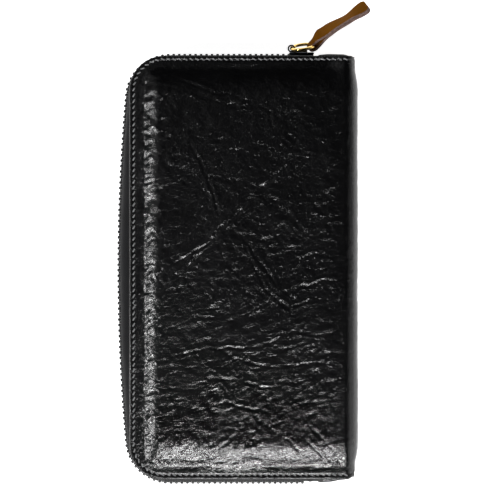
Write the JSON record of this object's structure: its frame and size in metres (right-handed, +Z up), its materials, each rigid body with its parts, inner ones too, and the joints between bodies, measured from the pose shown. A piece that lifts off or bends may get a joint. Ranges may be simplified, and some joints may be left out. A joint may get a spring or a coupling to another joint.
{
  "type": "zip around wallet",
  "caption": "Long zip around wallet in padded black leather with a card side each way, bill compartments, a zipped coin pocket and a tan leather pull on a ring.",
  "frame": {"origin": "middle of the back cover's flat outer face, which the closed wallet rests on", "axes": "+X to the spine, +Y to the end where the zip closes, +Z up through the closed wallet"},
  "size_m": [0.1146, 0.2191, 0.027],
  "materials": {
    "cover_leather": "polished, wrinkled black leather",
    "lining": "black woven lining",
    "board": "grey stiffening board",
    "foam": "thin padding foam",
    "card_leather": "smooth black leather",
    "pocket_fabric": "black woven lining",
    "zip_tape": "black twill zip tape",
    "zip_teeth": "glossy black",
    "slider_metal": "black gunmetal",
    "gold_ring": "polished gold",
    "tan_leather": "tan leather with natural cut edge",
    "coin_zip_metal": "polished gold"
  },
  "bodies": {
    "root": {"back_card_strip_1": "card_leather", "back_card_strip_2": "card_leather", "back_card_strip_3": "card_leather", "back_card_strip_4": "card_leather", "back_cover_leather": "cover_leather", "back_foam_pad": "foam", "back_lining": "lining", "back_stiffener_board": "board", "back_zip_stops": "slider_metal", "back_zip_tape": "zip_tape", "back_zip_teeth": "zip_teeth", "gusset_bottom_back": "pocket_fabric", "gusset_top_back": "pocket_fabric"},
    "spine": {"coin_pocket_back_panel": "pocket_fabric", "coin_pocket_end_bottom": "pocket_fabric", "coin_pocket_end_top": "pocket_fabric", "coin_pocket_front_panel": "pocket_fabric", "coin_zip_tape_back": "zip_tape", "coin_zip_tape_front": "zip_tape", "coin_zip_teeth_back": "coin_zip_metal", "coin_zip_teeth_front": "coin_zip_metal", "spine_leather": "cover_leather", "spine_lining": "lining", "zip_end_tab_bottom": "cover_leather", "zip_end_tab_top": "cover_leather"},
    "coin_pull": {"coin_zip_pull": "coin_zip_metal"},
    "coin_slider": {"coin_zip_slider": "coin_zip_metal"},
    "front_cover": {"front_card_strip_1": "card_leather", "front_card_strip_2": "card_leather", "front_card_strip_3": "card_leather", "front_card_strip_4": "card_leather", "front_cover_leather": "cover_leather", "front_foam_pad": "foam", "front_lining": "lining", "front_stiffener_board": "board", "front_zip_stops": "slider_metal", "front_zip_tape": "zip_tape", "front_zip_teeth": "zip_teeth", "gusset_bottom_front": "pocket_fabric", "gusset_top_front": "pocket_fabric"},
    "pull_tab": {"leather_pull_tab": "tan_leather"},
    "pull_ring": {"pull_ring": "gold_ring"},
    "zip_slider": {"zip_slider": "slider_metal"}
  },
  "joints": [
    {"name": "spine_fold", "type": "hinge", "parent": "root", "child": "spine", "pos_m": [0.0506, 0, 0.0006], "axis": [0, 1, 0], "range_deg": [0, 45], "deforming": ["gusset_bottom_back", "gusset_bottom_front", "gusset_top_back", "gusset_top_front"]},
    {"name": "cover_fold", "type": "hinge", "parent": "spine", "child": "front_cover", "pos_m": [0.0506, 0, 0.0264], "axis": [0, 1, 0], "range_deg": [0, 45]},
    {"name": "slider_travel", "type": "slide", "parent": "root", "child": "zip_slider", "axis": [-1, 0, 0], "range_m": [0, 0.052], "deforming": ["back_zip_teeth", "front_zip_teeth"]},
    {"name": "ring_swing", "type": "hinge", "parent": "zip_slider", "child": "pull_ring", "pos_m": [0.0219, 0.1006, 0.0135], "axis": [0, 0, 1], "range_deg": [0, 130]},
    {"name": "tab_swing", "type": "hinge", "parent": "pull_ring", "child": "pull_tab", "pos_m": [0.0321, 0.10203, 0.0135], "axis": [0, 0, 1], "range_deg": [-35, 20]},
    {"name": "coin_slider_travel", "type": "slide", "parent": "spine", "child": "coin_slider", "axis": [0, -1, 0], "range_m": [0, 0.138], "deforming": ["coin_zip_tape_back", "coin_zip_tape_front", "coin_zip_teeth_back", "coin_zip_teeth_front"]},
    {"name": "coin_pull_swing", "type": "hinge", "parent": "coin_slider", "child": "coin_pull", "pos_m": [-0.0317, 0.07, 0.0135], "axis": [0, 0, -1], "range_deg": [0, 180]}
  ],
  "couplings": [
    {"joint": "cover_fold", "follows": "spine_fold", "ratio": 1}
  ]
}
